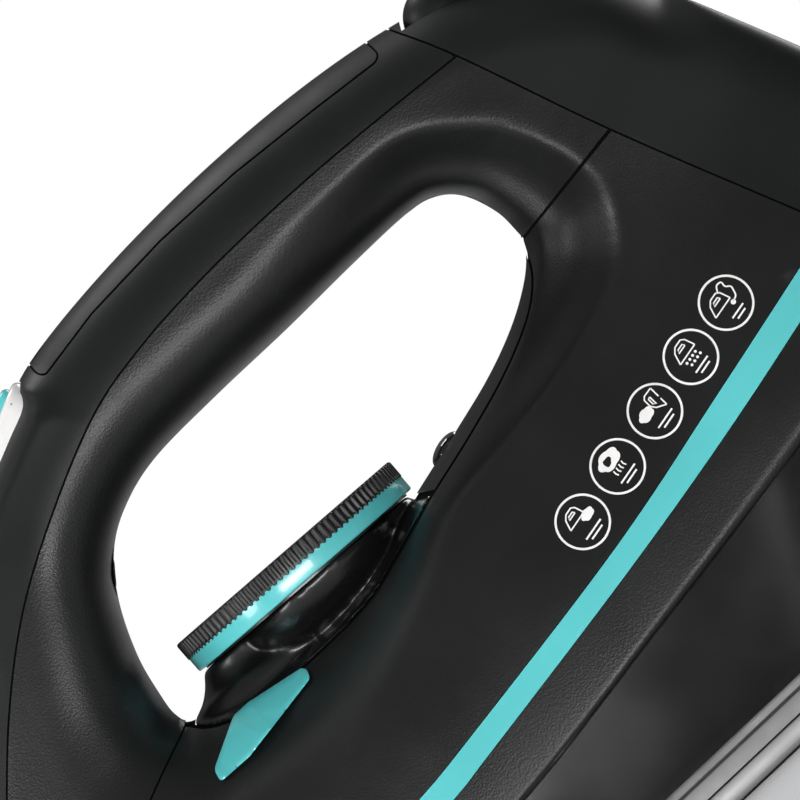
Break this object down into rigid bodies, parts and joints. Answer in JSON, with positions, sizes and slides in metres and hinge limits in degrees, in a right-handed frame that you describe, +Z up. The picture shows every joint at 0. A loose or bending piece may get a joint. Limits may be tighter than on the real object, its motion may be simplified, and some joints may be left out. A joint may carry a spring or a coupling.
{
  "type": "steam iron",
  "caption": "Household steam iron with a closed loop handle over a thermostat dial, pointed sole with steam holes, tall heel to rest on, and a tilting cord gland.",
  "frame": {"origin": "Under the middle of the overall length and width, on the flat ironing face.", "axes": "+X towards the heel (nose at -X), +Y to the left-hand side seen from behind, +Z up from the ironing face."},
  "size_m": [0.2836, 0.1134, 0.1639],
  "materials": {
    "satin_black": "satin black moulding",
    "grain_black": "fine grained black moulding",
    "gloss_black": "polished black moulding",
    "rubber_black": "soft touch, fine texture",
    "teal_gloss": "glossy teal moulding",
    "pearl_white": "glossy off-white",
    "steel": "plain steel",
    "cast_aluminium": "as cast",
    "sole_finish": "brushed ironing face",
    "brass": "turned brass",
    "tank_plastic": "tinted clear moulding",
    "silicone": "soft seal",
    "wire": "sheathed wire"
  },
  "bodies": {
    "housing": {"body_shell": "grain_black", "button_bezel": "pearl_white", "control_deck": "gloss_black", "cord_clamp": "satin_black", "deck_trim": "grain_black", "fill_cap_pin": "steel", "filler_neck": "tank_plastic", "grip_inlay": "rubber_black", "handle_lower_shell": "grain_black", "handle_top_cover": "satin_black", "heat_shield": "steel", "heating_element": "steel", "heel_base": "satin_black", "lead_earth": "wire", "lead_live": "wire", "lead_neutral": "wire", "pilot_lamp": "tank_plastic", "pilot_light_lens": "gloss_black", "rear_cover": "satin_black", "rear_cover_screw": "steel", "skirt": "gloss_black", "soleplate_casting": "cast_aluminium", "soleplate_face": "sole_finish", "spray_nozzle": "pearl_white", "spray_pump": "tank_plastic", "spray_spring": "steel", "steam_chamber_cover": "steel", "steam_shot_pump": "tank_plastic", "steam_shot_spring": "steel", "stripe_left": "teal_gloss", "stripe_right": "teal_gloss", "terminal_block": "pearl_white", "thermal_fuse": "pearl_white", "thermostat_body": "sole_finish", "water_tank": "tank_plastic"},
    "dial": {"dial_knob": "satin_black", "dial_ring": "teal_gloss", "thermostat_shaft": "brass"},
    "slider": {"steam_slider": "teal_gloss"},
    "valve": {"steam_valve_rod": "steel", "steam_valve_seal": "silicone"},
    "filler_lid": {"fill_cap": "tank_plastic"},
    "steam_shot_key": {"steam_shot_button": "teal_gloss"},
    "spray_key": {"spray_button": "teal_gloss"},
    "gland": {"cord_swivel": "satin_black"}
  },
  "joints": [
    {"name": "dial_turn", "type": "hinge", "parent": "housing", "child": "dial", "pos_m": [-0.0124, 0, 0.0842], "axis": [0.0419, 0, 0.9991], "range_deg": [0, 280]},
    {"name": "slider_slide", "type": "slide", "parent": "housing", "child": "slider", "axis": [0.9962, 0, 0.0872], "range_m": [0, 0.008]},
    {"name": "valve_lift", "type": "slide", "parent": "housing", "child": "valve", "axis": [0, 0, 1], "range_m": [0, 0.003]},
    {"name": "filler_lid_hinge", "type": "hinge", "parent": "housing", "child": "filler_lid", "pos_m": [-0.07762, 0, 0.11178], "axis": [0, 1, 0], "range_deg": [0, 70]},
    {"name": "steam_shot_press", "type": "slide", "parent": "housing", "child": "steam_shot_key", "axis": [0.4384, 0, -0.8988], "range_m": [0, 0.0025], "stiffness_N_per_m": 300, "springref_m": -0.004, "deforming": ["steam_shot_spring"]},
    {"name": "spray_press", "type": "slide", "parent": "housing", "child": "spray_key", "axis": [0.4384, 0, -0.8988], "range_m": [0, 0.0025], "stiffness_N_per_m": 300, "springref_m": -0.004, "deforming": ["spray_spring"]},
    {"name": "gland_tilt", "type": "hinge", "parent": "housing", "child": "gland", "pos_m": [0.0778, 0, 0.1434], "axis": [0, 1, 0], "range_deg": [-15, 15]}
  ],
  "couplings": [
    {"joint": "valve_lift", "follows": "slider_slide", "ratio": 0.375}
  ]
}
